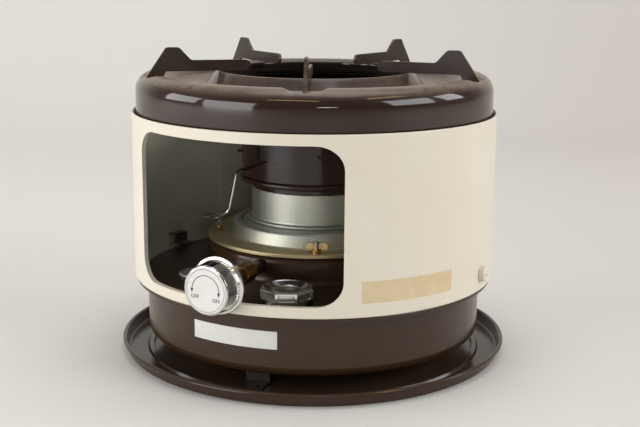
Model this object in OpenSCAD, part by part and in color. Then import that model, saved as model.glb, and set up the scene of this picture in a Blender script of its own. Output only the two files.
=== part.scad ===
// Round wick-fed kerosene cooking stove, in millimetres.
// The origin is the centre of the drip tray's underside and +Z is up. The
// front, with the casing's window and the wick knob, faces -Y.

/* [Drip tray] */
// Radius of the tray's floor at its outer edge
tray_r = 174.2; // [172:0.2:190]
// Height of the tray's rolled rim
tray_rim_h = 12; // [9:0.5:16]
// Outward lean of the tray's wall
tray_flare = 1.2; // [0:0.2:3]
// Sheet thickness of the tray
tray_sheet = 1; // [0.8:0.1:1.4]
// Distance of the pressed ring in the tray's floor from the tray's edge
tray_ring_inset = 22.2; // [16:0.2:25]
// Height of the legs between the tray and the tank
leg_h = 16; // [12:0.5:22]
// Width of one leg
leg_w = 22; // [16:1:30]

/* [Tank] */
// Distance of the tank's wall inside the casing's outer face
tank_inset = 11.4; // [9:0.2:15]
// Radius of the tank's bottom corner
tank_corner_r = 8; // [5:0.5:12]
// Depth of the tank's lower pan
pan_h = 53; // [46:0.5:64]
// Sheet thickness of the tank
tank_sheet = 1; // [0.8:0.1:1.4]
// Distance of the tank's rolled seam inside the casing's outer face
seam_inset = 1.6; // [1:0.2:4]
// Rise of the tank's deck from the seam to the boss
deck_rise = 9.5; // [6:0.5:14]
// Radius of the central boss
boss_r = 98; // [94:0.5:102]
// Height of the boss's top above the seam
boss_h = 33; // [31:0.5:38]
// Radius of the boss's rounded shoulder
boss_shoulder_r = 6; // [3:0.5:8]

/* [Filler and gauge] */
// Azimuth of the filler, counted from the front towards +X
filler_az = 17.7; // [14:0.1:30]
// Distance of the filler from the stove's axis
filler_r = 130; // [128:0.5:132]
// Bore radius of the filler neck
neck_bore_r = 14; // [10:0.5:14.5]
// Width of the filler cap across its flats
cap_w = 43.6; // [40:0.2:46]
// Height of the filler cap
cap_h = 8.6; // [8.2:0.2:12]
// Azimuth of the fuel gauge
gauge_az = -26.5; // [-40:0.5:-25]
// Distance of the fuel gauge from the stove's axis
gauge_r = 126; // [122:0.5:130]
// Radius of the gauge's bezel
bezel_r = 15.5; // [13:0.5:17]
// Travel of the gauge's float
float_travel = 32; // [20:1:36]

/* [Wick and its drive] */
// Outer radius of the central air tube
air_tube_r = 52.2; // [48:0.2:53]
// Thickness of the woven wick
wick_t = 3.4; // [2.4:0.2:4]
// Running gap on each side of the wick
wick_gap = 0.4; // [0.3:0.1:0.6]
// Height of the wick housing's upper tube above its flange
wick_tube_h = 44.5; // [40:0.5:52]
// Teeth of the pinion that lifts the wick
pinion_teeth = 9; // [8:1:10]
// Module of the pinion and its rack
gear_module = 1; // [0.9:0.1:1.1]
// Radius of the knob's shaft
shaft_r = 3.5; // [3:0.1:4]
// Radial running clearance of the shaft
shaft_gap = 0.05; // [0.03:0.01:0.1]
// Radius of the knob's back flange
knob_flange_r = 24.2; // [22:0.2:27]
// Radius of the knob's grip
knob_grip_r = 21.6; // [18:0.2:21.8]
// Depth of the knob from its flange to its face
knob_depth = 19.2; // [14:0.2:24]
// Flutes around the knob's grip
knob_flutes = 32; // [20:2:44]

/* [Casing] */
// Outer radius of the casing
casing_r = 165; // [164.8:0.2:168]
// Height of the casing
casing_h = 149.5; // [145:0.5:170]
// Sheet thickness of the casing and the top plate
casing_sheet = 1; // [0.8:0.1:1.4]
// Half of the window's width, seen from the front
window_half_w = 96.6; // [80:0.2:105]
// Height of the window
window_h = 130.7; // [110:0.5:131]
// Height of the wall left below the window
window_sill = 9.5; // [7:0.5:12]
// Corner radius of the window
window_corner_r = 20; // [10:1:30]
// Depth of the window's turned-in lip
window_lip = 3.5; // [2:0.5:6]

/* [Top plate] */
// Gap between the casing and the top plate's skirt
skirt_gap = 2.75; // [1:0.25:4]
// Height of the top plate's ridge above the casing
ridge_h = 33.5; // [28:0.5:45]
// Radius of the top plate's rounded shoulder
shoulder_r = 15; // [10:0.5:18]
// Radius of the opening over the burner
hole_r = 86; // [78:0.5:92]
// Depth of the pressed channels below the ridge
channel_d = 2.8; // [2:0.1:4]
// Width of a channel's floor
channel_w = 25; // [16:1:32]
// Depth of the valley between the ridge and the collar round the opening
valley_d = 10; // [6:0.5:12]
// Height of the collar's rim above the ridge
rim_rise = 2; // [1:0.1:2.2]
// Number of pot supports
support_count = 5; // [5:1:5]
// Azimuth of the first pot support
support_az = 24.4; // [0:0.2:70]
// Thickness of a pot support
support_t = 2.6; // [2:0.2:4]
// Distance of a pot support's inner end from the axis
support_tip_r = 59.5; // [50:0.5:70]
// Height of the pot rest above the channel's floor
rest_h = 14.6; // [12:0.2:20]
// Height of a pot support's horn above the channel's floor
horn_h = 26; // [22:0.2:34]

/* [Burner] */
// Outer radius of the burner's shell
burner_r = 66.5; // [65.6:0.1:68]
// Height of the burner above the wick housing
burner_h = 90; // [80:0.5:91]
// Radius of the outer flame tube
outer_flame_r = 60; // [58.6:0.2:61]
// Radius of the inner flame tube
inner_flame_r = 48.8; // [46:0.2:50]
// Width of the burner's mica window
mica_w = 31; // [20:1:36]
// Height of the burner's mica window
mica_h = 46; // [30:1:50]
// Diameter of the wire handle
wire_d = 2; // [1.6:0.1:2.6]

/* [Hidden] */
$fn = 96;

// Clearances that several pieces share
rest_gap = 0.3;
eps = 0.01;
deep = 400;

// Colours
brown = "#3A2820";
cream = "#E4DFCF";
zinc = "#B4B8B0";
steel = "#A9A9A6";
chrome = "#D5D6D6";
brass = "#B08A45";
dark = "#2A2623";

// Radii of the tank, which the casing stands on
tank_r = casing_r - tank_inset;
seam_r = casing_r - seam_inset;

// Heights up the stove
tank_z = tray_sheet + leg_h;
seam_z = tank_z + pan_h;
deck_z = seam_z + tank_sheet;
boss_z = seam_z + boss_h;
gasket_t = 2.5;
flange_z = boss_z + gasket_t;
housing_sheet = 1;
wick_tube_z = flange_z + wick_tube_h;
casing_top = deck_z + casing_h;
ledge_d = 6.5;
ledge_z = casing_top - ledge_d;
plate_z = ledge_z + rest_gap;
ridge_z = casing_top + ridge_h;
channel_z = ridge_z - channel_d;
burner_z = wick_tube_z + rest_gap;
shaft_z = boss_z - 8.5;

// Radii of the wick and what it slides between
wick_in_r = air_tube_r + wick_gap;
wick_out_r = wick_in_r + wick_t;
wick_tube_in_r = wick_out_r + wick_gap + 0.1;
wick_tube_r = wick_tube_in_r + housing_sheet;
carrier_r = wick_out_r + 1;
well_r = carrier_r + 9;

function arc(c, r, a0, a1, n = 6) = [
  for (k = [0 : n])
    let (a = a0 + (a1 - a0) * k / n)
    [c[0] + r * cos(a), c[1] + r * sin(a)]
];

function unit(v) = v / norm(v);

function left_normal(a, b) = unit([a[1] - b[1], b[0] - a[0]]);

// A point of a path, moved sideways by t so that the sheet keeps its thickness
function shifted(path, i, t) =
  let (
    last = len(path) - 1,
    n0 = left_normal(path[max(i - 1, 0)], path[max(i, 1)]),
    n1 = left_normal(path[min(i, last - 1)], path[min(i + 1, last)]),
    m = unit(n0 + n1)
  )
  path[i] + m * t / (m * n0);

function sheet_outline(path, t) = concat(
  path,
  [for (i = [len(path) - 1 : -1 : 0]) shifted(path, i, t)]
);

// A turned sheet: the path is one face and the thickness lies on its left
module pressed(path, t) {
  rotate_extrude() polygon(sheet_outline(path, t));
}

module turned(points) {
  rotate_extrude() polygon(points);
}

module ring(r_in, r_out, z0, z1) {
  translate([0, 0, z0]) difference() {
    cylinder(r = r_out, h = z1 - z0);
    translate([0, 0, -1]) cylinder(r = r_in, h = z1 - z0 + 2);
  }
}

// Places a child at an azimuth from the front, a radius and a height
module at(az, r = 0, z = 0) {
  rotate([0, 0, az]) translate([0, -r, z]) children();
}

// The same, with the child's +Z turned to point away from the stove's axis
module radial(az, r, z) {
  at(az, r, z) rotate([90, 0, 0]) children();
}

function rounded_rect(w, h, r) = concat(
  arc([w / 2 - r, h / 2 - r], r, 0, 90, 8),
  arc([r - w / 2, h / 2 - r], r, 90, 180, 8),
  arc([r - w / 2, r - h / 2], r, 180, 270, 8),
  arc([w / 2 - r, r - h / 2], r, 270, 360, 8)
);

// ---- Drip tray ----
tray_ring_r = tray_r - tray_ring_inset;
ring_half_w = 3;
ring_h = 2;
tray_corner_r = 3;
curl_r = 1;

module drip_tray() {
  rim_r = tray_r + tray_flare;
  color(brown) pressed(concat(
    [[0, 0], [tray_ring_r - ring_half_w, 0], [tray_ring_r - ring_half_w / 2, ring_h]],
    [[tray_ring_r + ring_half_w / 2, ring_h], [tray_ring_r + ring_half_w, 0]],
    arc([tray_r - tray_corner_r, tray_corner_r], tray_corner_r, -90, 0),
    arc([rim_r + curl_r, tray_rim_h - tray_sheet - curl_r], curl_r, 180, 0)
  ), tray_sheet);
}

// ---- Legs, bent from strip, between the tray and the tank ----
leg_sheet = 1.5;
leg_count = 3;
leg_az = 6;
leg_foot_r = tray_ring_r - ring_half_w - 2;
leg_web_r = leg_foot_r - 19;
leg_top_r = leg_web_r - 17;
leg_hole_r = 2.5;

module tank_legs() {
  profile = [
    [-leg_foot_r, tray_sheet], [-leg_foot_r, tray_sheet + leg_sheet],
    [-leg_web_r, tray_sheet + leg_sheet], [-leg_web_r, tank_z],
    [-leg_top_r, tank_z], [-leg_top_r, tank_z - leg_sheet],
    [leg_sheet - leg_web_r, tank_z - leg_sheet], [leg_sheet - leg_web_r, tray_sheet]
  ];
  color(dark) for (k = [0 : leg_count - 1]) rotate([0, 0, leg_az + k * 360 / leg_count]) difference() {
    translate([-leg_w / 2, 0, 0]) rotate([90, 0, 90]) linear_extrude(leg_w) polygon(profile);
    translate([leg_w / 2 - 2 * leg_hole_r, 2.5 * leg_hole_r - leg_foot_r, 0]) {
      cylinder(r = leg_hole_r, h = leg_h / 2);
    }
  }
}

// ---- Fuel tank: a deep pan and a domed top, joined in a rolled seam ----
seam_bend_r = 2;
hem_h = 3.2;
hem_r = 1;
deck_rim_w = 7.4;
deck_step_r = seam_r - deck_rim_w;
deck_fillet_r = 5;
lip_r = 1.5;
filler_pad_r = neck_bore_r + 4;
gauge_pad_r = 12;
gland_r = shaft_r + 2.5;

// Height of the deck's upper face at a radius between the seam and the boss
function deck_top(r) =
  deck_z + (seam_z + deck_rise - deck_z) * (deck_step_r - r) / (deck_step_r - boss_r - deck_fillet_r);

module tank_pan() {
  color(brown) pressed(concat(
    [[air_tube_r, tank_z]],
    arc([tank_r - tank_corner_r, tank_z + tank_corner_r], tank_corner_r, -90, 0),
    arc([tank_r + seam_bend_r, seam_z - tank_sheet - seam_bend_r], seam_bend_r, 180, 90),
    [[seam_r - tank_sheet - 0.2, seam_z - tank_sheet]]
  ), tank_sheet);
}

module tank_top() {
  fillet_c = [boss_r + deck_fillet_r, seam_z + deck_rise + deck_fillet_r];
  color(brown) difference() {
    pressed(concat(
      [[seam_r, deck_z - hem_h]],
      arc([seam_r - hem_r - 0.2, deck_z - hem_r - 0.2], hem_r + 0.2, 0, 90),
      [[deck_step_r, deck_z]],
      arc(fillet_c, deck_fillet_r, 270, 180),
      arc([boss_r - boss_shoulder_r, boss_z - boss_shoulder_r], boss_shoulder_r, 0, 90),
      arc([well_r + lip_r, boss_z - lip_r], lip_r, 90, 180),
      [[well_r, boss_z - 5]]
    ), tank_sheet);
    at(filler_az, filler_r, seam_z - 5) cylinder(r = filler_pad_r, h = deck_rise + 20);
    at(gauge_az, gauge_r, seam_z - 5) cylinder(r = gauge_pad_r, h = deck_rise + 20);
    radial(0, boss_r - 12, shaft_z) cylinder(r = gland_r, h = 20);
  }
}

// ---- Central air tube, soldered into the tank's floor ----
module air_tube() {
  wall = 1;
  foot_r = air_tube_r + 8;
  color(steel) turned([
    [air_tube_r - wall, tank_z - wall], [foot_r, tank_z - wall], [foot_r, tank_z],
    [air_tube_r, tank_z], [air_tube_r, wick_tube_z - 0.6], [air_tube_r - wall, wick_tube_z - 0.6]
  ]);
}

// ---- Wick housing, drawn from zinc-plated sheet and clamped to the boss ----
stud_r = 2;
stud_az = 29;
stud_count = 4;
stud_circle_r = boss_r - 10;
stud_out = 11;
step_r = boss_r - 21;
step_h = 13.5;
rim_h = 3.2;

module flange_gasket() {
  color(dark) difference() {
    ring(step_r + 2, boss_r - boss_shoulder_r, boss_z, flange_z);
    stud_places() cylinder(r = stud_r + 0.3, h = gasket_t * 3, center = true);
  }
}

module stud_places() {
  for (k = [0 : stud_count - 1]) at(stud_az + k * 360 / stud_count, stud_circle_r, boss_z) children();
}

module wick_housing() {
  t = housing_sheet;
  top = flange_z + t;
  ledge = flange_z + step_h;
  color(zinc) difference() {
    pressed(concat(
      [[boss_r + 0.6, top + 0.8 - rim_h]],
      arc([boss_r - 0.9, top - 0.7], 1.5, 0, 90),
      [[boss_r - 3, top], [step_r + 1.2, top], [step_r, top + 1.2]],
      arc([step_r - 5, ledge - 2.5], 2.5, 0, 90),
      [[step_r - 9.5, ledge + 0.3], [step_r - 10.5, ledge - 0.8], [step_r - 12, ledge - 0.8]],
      [[step_r - 13, ledge + 0.6], [wick_tube_r + 3, ledge + 1.8]],
      arc([wick_tube_r + 2.4, ledge + 5.5], 2.4, 270, 180),
      [[wick_tube_r, wick_tube_z]]
    ), t);
    stud_places() cylinder(r = stud_r + 0.1, h = 4 * gasket_t);
  }
}

module housing_studs() {
  color(steel) stud_places() cylinder(r = stud_r, h = gasket_t + stud_out);
}

module wing_nuts() {
  hub_r = 3.8;
  hub_h = 4.4;
  wing_r = 4.2;
  wing_t = 1.5;
  wing_x = 5.4;
  wing_z = 5;
  color(brass) stud_places() translate([0, 0, gasket_t + housing_sheet]) difference() {
    union() {
      cylinder(r = hub_r, h = hub_h);
      for (side = [-1, 1]) translate([side * wing_x, 0, wing_z]) rotate([90, 0, 0]) {
        cylinder(r = wing_r, h = wing_t, center = true);
      }
    }
    translate([0, 0, -1]) cylinder(r = stud_r, h = 20);
  }
}

// ---- Shaft gland and its packing nut on the boss's wall ----
gland_in = 8;
gland_out = 22;
packing_l = 8;
packing_r = shaft_r + 1.3;
nut_w = 15;
nut_l = 16;
nut_nose_l = 4;

module shaft_gland() {
  color(dark) radial(0, boss_r - gland_in, shaft_z) difference() {
    cylinder(r = gland_r, h = gland_in + gland_out);
    translate([0, 0, -1]) cylinder(r = shaft_r + shaft_gap, h = gland_in + gland_out + 2);
    translate([0, 0, gland_in + gland_out - packing_l]) cylinder(r = packing_r, h = packing_l + 1);
  }
}

module gland_packing() {
  color(dark) radial(0, boss_r + gland_out - packing_l, shaft_z) difference() {
    cylinder(r = packing_r, h = packing_l);
    translate([0, 0, -1]) cylinder(r = shaft_r + shaft_gap, h = packing_l + 2);
  }
}

module packing_nut() {
  color(brass) radial(0, boss_r + gland_out - 3, shaft_z) difference() {
    union() {
      intersection() {
        cylinder(d = nut_w / cos(30), h = nut_l, $fn = 6);
        turned([[0, 0], [nut_w / 2, 0], [nut_w, 4], [nut_w, nut_l - 4], [nut_w / 2, nut_l], [0, nut_l]]);
      }
      translate([0, 0, nut_l]) cylinder(r = nut_w / 2 - 2, h = nut_nose_l);
    }
    translate([0, 0, -1]) cylinder(r = gland_r, h = 4);
    cylinder(r = shaft_r + 0.2, h = deep, center = true);
  }
}

// ---- Wick, its carrier and the rack and pinion that lift it ----
pitch_r = gear_module * pinion_teeth / 2;
gear_pitch = PI * gear_module;
addendum = 0.85 * gear_module;
dedendum = 1.15 * gear_module;
tooth_half = 0.6 * gear_module;
tooth_lean = 0.38;
pinion_w = 5;
pinion_in_r = carrier_r + 0.6;
spigot_r = 2;
wick_travel = pitch_r * PI;
carrier_h = 40;
carrier_top = shaft_z + 9.5;
rack_back = 4;

module wick() {
  color("#CFC6AE") ring(wick_in_r, wick_out_r, tank_z + 7, wick_tube_z - 4);
}

module wick_carrier() {
  color(steel) ring(wick_out_r, carrier_r, carrier_top - carrier_h, carrier_top);
}

// One tooth of the rack, drawn about its own centre line
function rack_tooth(z) = [
  [-pitch_r - dedendum, z - tooth_half - tooth_lean * dedendum],
  [addendum - pitch_r, z - tooth_half + tooth_lean * addendum],
  [addendum - pitch_r, z + tooth_half - tooth_lean * addendum],
  [-pitch_r - dedendum, z + tooth_half + tooth_lean * dedendum]
];

module wick_rack() {
  below = ceil(wick_travel / gear_pitch) + 2;
  above = 2;
  teeth = [for (k = [-below : above - 1]) each rack_tooth((k + 0.5) * gear_pitch)];
  back_x = -pitch_r - dedendum - rack_back;
  bottom = -below * gear_pitch;
  top = above * gear_pitch;
  color(steel) translate([0, 0, shaft_z]) difference() {
    translate([0, -carrier_r + 2, 0]) rotate([90, 0, 0]) linear_extrude(pinion_w + 3.2) {
      polygon(concat([[back_x, bottom], [-pitch_r - dedendum, bottom]], teeth,
        [[-pitch_r - dedendum, top], [back_x, top]]));
    }
    cylinder(r = carrier_r, h = deep, center = true);
  }
}

module wick_pinion() {
  root_r = pitch_r - dedendum;
  tip_r = pitch_r + addendum;
  root_half = 0.7 * gear_module;
  tip_half = root_half / 2;
  color(brass) radial(0, pinion_in_r, shaft_z) difference() {
    linear_extrude(pinion_w) union() {
      circle(r = root_r);
      for (k = [0 : pinion_teeth - 1]) rotate(180 + k * 360 / pinion_teeth) {
        polygon([[0, -root_half], [root_r, -root_half], [tip_r, -tip_half], [tip_r, tip_half],
          [root_r, root_half], [0, root_half]]);
      }
    }
    translate([0, 0, -1]) cylinder(r = spigot_r, h = pinion_w + 2);
  }
}

knob_z = shaft_z;
knob_flange_y = casing_r + 1.5;
knob_face_y = knob_flange_y + knob_depth + 0.6;
shaft_end_y = knob_face_y - 9;
disc_r = knob_grip_r - 2.4;
disc_t = 0.9;
flute_w = 2;
stem_gap = 11.5;

module wick_shaft() {
  journal_y = pinion_in_r + pinion_w;
  color(steel) {
    radial(0, pinion_in_r, shaft_z) cylinder(r = spigot_r, h = pinion_w);
    radial(0, journal_y, shaft_z) cylinder(r = shaft_r, h = shaft_end_y - journal_y);
  }
}

module wick_knob() {
  grip_l = knob_face_y - knob_flange_y;
  stem_l = knob_flange_y - boss_r - gland_out + 3 - nut_l - nut_nose_l - stem_gap;
  color(chrome) radial(0, knob_flange_y, knob_z) difference() {
    turned([
      [0, -stem_l], [5.8, -stem_l], [6.8, 0], [knob_flange_r - 1, 0], [knob_flange_r, 0.8],
      [knob_flange_r, 1.6], [knob_flange_r - 1.2, 2.4], [knob_grip_r + 0.4, 2.8],
      [knob_grip_r, 4.5], [knob_grip_r - 0.9, grip_l - 1.2], [knob_grip_r - 2, grip_l], [0, grip_l]
    ]);
    translate([0, 0, -stem_l - 1]) cylinder(r = shaft_r, h = shaft_end_y - knob_flange_y + stem_l + 1);
    translate([0, 0, grip_l - 0.7]) cylinder(r = disc_r, h = 2);
    for (k = [0 : knob_flutes - 1]) rotate(k * 360 / knob_flutes) translate([knob_grip_r + 0.2, 0, 3.6]) {
      rotate(45) translate([-flute_w / 2, -flute_w / 2, 0]) cube([flute_w, flute_w, grip_l]);
    }
  }
}

module knob_disc() {
  color("#ECEBE6") radial(0, knob_face_y - 0.7, knob_z) turned([
    [0, 0], [disc_r, 0], [disc_r, disc_t - 0.3], [disc_r - 0.4, disc_t], [0, disc_t]
  ]);
}

// ---- Filler neck, strainer, cap and seal ----
neck_wall = 2.5;
neck_r = neck_bore_r + neck_wall;
neck_h = 3;
cap_corner_r = cap_w / 2 / cos(22.5);
pad_z = deck_top(filler_r - cap_corner_r);
neck_top = pad_z + neck_h;
strainer_t = 0.5;
strainer_gap = 0.3;
strainer_l = 38;
seal_t = 1.2;
seal_z = neck_top + strainer_t;
cap_z = pad_z + rest_gap;
cap_thread_gap = 0.4;
cap_dish_d = 3;

module filler_neck() {
  color(steel) at(filler_az, filler_r) difference() {
    union() {
      translate([0, 0, seam_z - 1]) cylinder(r = filler_pad_r, h = pad_z - seam_z + 1);
      translate([0, 0, seam_z]) cylinder(r = neck_r, h = neck_top - seam_z);
    }
    translate([0, 0, seam_z - 2]) cylinder(r = neck_bore_r, h = 40);
  }
}

module filler_strainer() {
  basket_r = neck_bore_r - strainer_gap;
  color(steel) at(filler_az, filler_r) difference() {
    union() {
      translate([0, 0, neck_top]) cylinder(r = neck_r - 0.5, h = strainer_t);
      translate([0, 0, neck_top - strainer_l]) cylinder(r = basket_r, h = strainer_l);
    }
    translate([0, 0, neck_top - strainer_l + strainer_t]) {
      cylinder(r = basket_r - strainer_t, h = strainer_l + 5);
    }
    for (k = [0 : 11], row = [0 : 2]) radial(k * 30, basket_r - 2, neck_top - 33 + row * 8) {
      cylinder(r = 2, h = 4, $fn = 24);
    }
  }
}

module filler_cap() {
  half = cap_w / 2;
  top = cap_h;
  bevel_h = 2.6;
  foot_h = 2;
  color(chrome) at(filler_az, filler_r, cap_z) difference() {
    intersection() {
      rotate([0, 0, 22.5]) cylinder(r = cap_corner_r, h = cap_h, $fn = 8);
      turned([
        [0, 0], [half + 0.5, 0], [cap_corner_r + 1, foot_h],
        [cap_corner_r + 1, top - bevel_h], [half - 1.2, top], [0, top]
      ]);
    }
    turned([
      [0, top - cap_dish_d], [half - 9, top - cap_dish_d], [half - 3.4, top - 0.6],
      [half - 2.6, top + 1], [0, top + 1]
    ]);
    translate([0, 0, -1]) cylinder(r = neck_r + cap_thread_gap, h = seal_z + seal_t - cap_z + 1);
    for (k = [0 : 7]) rotate([0, 0, k * 45]) translate([0, -half, cap_h / 2 - 0.4]) {
      cube([cap_w * 0.28, 1, cap_h * 0.5], center = true);
    }
  }
}

module cap_seal() {
  color(dark) at(filler_az, filler_r) ring(5, neck_r, seal_z, seal_z + seal_t);
}

// ---- Fuel gauge: float on a guide, twisted spindle, needle under glass ----
gauge_pad_z = deck_top(gauge_r - gauge_pad_r);
bezel_h = 7.5;
bezel_top = gauge_pad_z + bezel_h;
dial_z = bezel_top - 4.6;
float_h = 9;
float_r = 11;
guide_gap_z = 2;
guide_z = seam_z - 5 - float_travel - float_h - guide_gap_z;
guide_rod_r = 1;
guide_rod_x = 7.5;
guide_foot_t = 1.5;
spindle_half = 2.2;
spindle_seat_r = 1;
socket_r = 10;
socket_d = 4;
needle_sweep = 90;

module gauge_frame() {
  color(steel) at(gauge_az, gauge_r) difference() {
    union() {
      translate([0, 0, seam_z - 3]) cylinder(r = gauge_pad_r, h = gauge_pad_z - seam_z + 3);
      translate([0, 0, guide_z - guide_foot_t]) cylinder(r = socket_r, h = guide_foot_t);
      for (side = [-1, 1]) translate([side * guide_rod_x, 0, guide_z - 1]) {
        cylinder(r = guide_rod_r, h = seam_z - guide_z, $fn = 24);
      }
    }
    translate([0, 0, guide_z - guide_foot_t / 2]) cylinder(r = spindle_seat_r, h = 100, $fn = 24);
    translate([0, 0, gauge_pad_z - socket_d]) cylinder(r = socket_r, h = 2 * socket_d);
  }
}

module gauge_float() {
  color("#8A6A45") at(gauge_az, gauge_r, guide_z + rest_gap) difference() {
    cylinder(r = float_r, h = float_h);
    translate([0, 0, -1]) cylinder(r = spindle_half + 0.8, h = float_h + 2);
    for (side = [-1, 1]) translate([side * guide_rod_x, 0, -1]) {
      cylinder(r = guide_rod_r + 0.4, h = float_h + 2, $fn = 24);
    }
  }
}

module gauge_dial() {
  color("#D9D8D2") at(gauge_az, gauge_r) ring(1.2, bezel_r - 2.4, dial_z - 0.8, dial_z);
}

module gauge_needle() {
  strip_h = seam_z - 4 - guide_z;
  color("#B23A2A") at(gauge_az, gauge_r) {
    translate([0, 0, guide_z + strip_h]) cylinder(r = 0.8, h = dial_z + 1.2 - guide_z - strip_h, $fn = 24);
    translate([0, 0, guide_z + 0.3]) {
      linear_extrude(strip_h, twist = needle_sweep * strip_h / float_travel, slices = 16, segments = 4) {
        square([2 * spindle_half, 0.6], center = true);
      }
    }
    translate([0, 0, dial_z + 0.6]) linear_extrude(0.6) {
      polygon([[-3, -1.1], [-3, 1.1], [0, 1.4], [9.6, 0.3], [9.6, -0.3], [0, -1.4]]);
    }
  }
}

module gauge_bezel() {
  color(chrome) at(gauge_az, gauge_r) difference() {
    turned([
      [0, gauge_pad_z], [gauge_pad_r, gauge_pad_z], [bezel_r, bezel_top - 1.4],
      [bezel_r, bezel_top - 0.4], [bezel_r - 0.6, bezel_top], [0, bezel_top]
    ]);
    translate([0, 0, dial_z - 0.8]) cylinder(r = bezel_r - 2.4, h = 20);
    translate([0, 0, gauge_pad_z - 1]) cylinder(r = socket_r, h = 20);
    translate([0, 0, bezel_top - 1.6]) cylinder(r = bezel_r - 1.4, h = 20);
  }
}

module gauge_lens() {
  color([0.8, 0.9, 0.9, 0.4]) at(gauge_az, gauge_r, bezel_top - 1.6) cylinder(r = bezel_r - 1.4, h = 1.2);
}

// ---- Casing with its front window, lap seam and catches ----
window_z = deck_z + window_sill + window_h / 2;
casing_in_r = casing_r - casing_sheet;
catch_z = deck_z + 15;
catch_az = 90;
hook_az = -95.1;
hook_w = 27;
hook_top = 20;

module window_prism(grow) {
  w = 2 * (window_half_w + grow);
  h = window_h + 2 * grow;
  translate([0, 0, window_z]) rotate([90, 0, 0]) linear_extrude(deep) {
    polygon(rounded_rect(w, h, window_corner_r + grow));
  }
}

module casing() {
  bend = 1.5;
  color(cream) difference() {
    union() {
      pressed(concat(
        [[casing_r - 8, deck_z]],
        arc([casing_r - bend, deck_z + bend], bend, -90, 0),
        arc([casing_r - bend, casing_top - bend], bend, 0, 60, 3)
      ), casing_sheet);
      intersection() {
        ring(casing_r - casing_sheet - window_lip, casing_r - casing_sheet / 2, deck_z, casing_top - 2);
        window_prism(casing_sheet);
      }
      intersection() {
        ring(casing_in_r - 1, casing_in_r + 0.5, deck_z + 6, ledge_z - 2);
        at(-118.4, casing_in_r, 0) translate([-6, -5, 0]) cube([12, 10, deep]);
      }
    }
    window_prism(0);
    radial(catch_az, casing_in_r - 3, catch_z) cylinder(r = catch_shank_r + shaft_gap, h = 10);
    at(hook_az, casing_r, deck_z + 1.5) translate([-hook_w / 2, -5, 0]) cube([hook_w, 10, hook_top - 1.5]);
  }
}

ledge_w = 4;
ledge_h = 5;

module plate_ledge() {
  color(cream) turned([
    [skirt_r - ledge_w, ledge_z - casing_sheet], [casing_in_r, ledge_z - casing_sheet],
    [casing_in_r, ledge_z + ledge_h], [casing_in_r - casing_sheet, ledge_z + ledge_h],
    [casing_in_r - casing_sheet, ledge_z], [skirt_r - ledge_w, ledge_z]
  ]);
}

// ---- Hook on the left: a tongue on the tank's rim in a pressed pocket ----
pocket_d = 6;
tongue_w = 18;
tongue_t = 1.5;

module hook_pocket() {
  w = hook_w + 8;
  h = hook_top + 2;
  color(cream) difference() {
    at(hook_az, casing_r - 4, deck_z + h / 2) rotate([90, 0, 0]) {
      linear_extrude(pocket_d + 4) polygon(rounded_rect(w, h, 5));
    }
    at(hook_az, casing_r - 6, deck_z + h / 2) rotate([90, 0, 0]) {
      linear_extrude(pocket_d + 5) polygon(rounded_rect(w - 2, h - 2, 4));
    }
    cylinder(r = casing_r, h = deep);
  }
}

module hook_tongue() {
  foot = [casing_in_r - 13, casing_in_r - 4];
  rise = 11;
  color(steel) rotate([0, 0, hook_az]) translate([-tongue_w / 2, 0, deck_z + casing_sheet]) {
    rotate([90, 0, 90]) linear_extrude(tongue_w) polygon([
      [-foot[0], 0], [-foot[1], 0], [-foot[1], rise - tongue_t], [-casing_r - 3, rise - tongue_t],
      [-casing_r - 3, rise], [tongue_t - foot[1], rise], [tongue_t - foot[1], tongue_t], [-foot[0], tongue_t]
    ]);
  }
}

// ---- Quarter-turn catch on the right, behind a bracket on the tank's rim ----
catch_shank_r = 2.5;
catch_head_r = 6.8;
catch_head_l = 5;
bracket_w = 22;
bracket_t = 1.5;
bracket_r = casing_in_r - 3;
bracket_top = catch_z + 8;
bracket_slot_gap = 0.5;
catch_bar_t = 2;
catch_bar_l = 14;
driver_slot_w = 1.6;
driver_slot_d = 1.2;

module catch_bracket() {
  foot_l = 5;
  slot_half = catch_shank_r + bracket_slot_gap;
  color(steel) rotate([0, 0, catch_az]) difference() {
    translate([-bracket_w / 2, 0, deck_z + casing_sheet]) rotate([90, 0, 90]) linear_extrude(bracket_w) {
      polygon([
        [-bracket_r, 0], [-bracket_r, bracket_top - deck_z], [bracket_t - bracket_r, bracket_top - deck_z],
        [bracket_t - bracket_r, bracket_t], [bracket_t + foot_l - bracket_r, bracket_t],
        [bracket_t + foot_l - bracket_r, 0]
      ]);
    }
    translate([-slot_half, -bracket_r - 1, catch_z]) cube([2 * slot_half, 5, 30]);
    translate([0, 0, catch_z]) rotate([90, 0, 0]) cylinder(r = slot_half, h = deep);
  }
}

module side_catch() {
  bar_y = bracket_r - bracket_t - rest_gap - catch_bar_t;
  head_y = casing_r + rest_gap;
  color(cream) difference() {
    union() {
      radial(catch_az, bar_y, catch_z) {
        cylinder(r = catch_shank_r, h = head_y - bar_y);
        translate([-catch_bar_l / 2, -catch_shank_r, 0]) cube([catch_bar_l, 2 * catch_shank_r, catch_bar_t]);
      }
      radial(catch_az, head_y, catch_z) turned([
        [0, 0], [catch_head_r, 0], [catch_head_r, catch_head_l - 1.2],
        [catch_head_r - 1.2, catch_head_l], [0, catch_head_l]
      ]);
    }
    radial(catch_az, head_y + catch_head_l, catch_z) {
      cube([3 * catch_head_r, driver_slot_w, 2 * driver_slot_d], center = true);
    }
  }
}

// ---- Top plate: enamelled pressing with five radial channels ----
skirt_r = casing_in_r - skirt_gap;
plate_t = 1.2;
valley_z = ridge_z - valley_d;
rim_z = ridge_z + rim_rise;
rim_bend_r = 1.6;
throat_h = 8;
ridge_w = 4;
ridge_bend_r = 5;
ridge_slope = 45;
valley_bend_r = 4;
collar_slope = 50;
lining_gap = 2;

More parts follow.
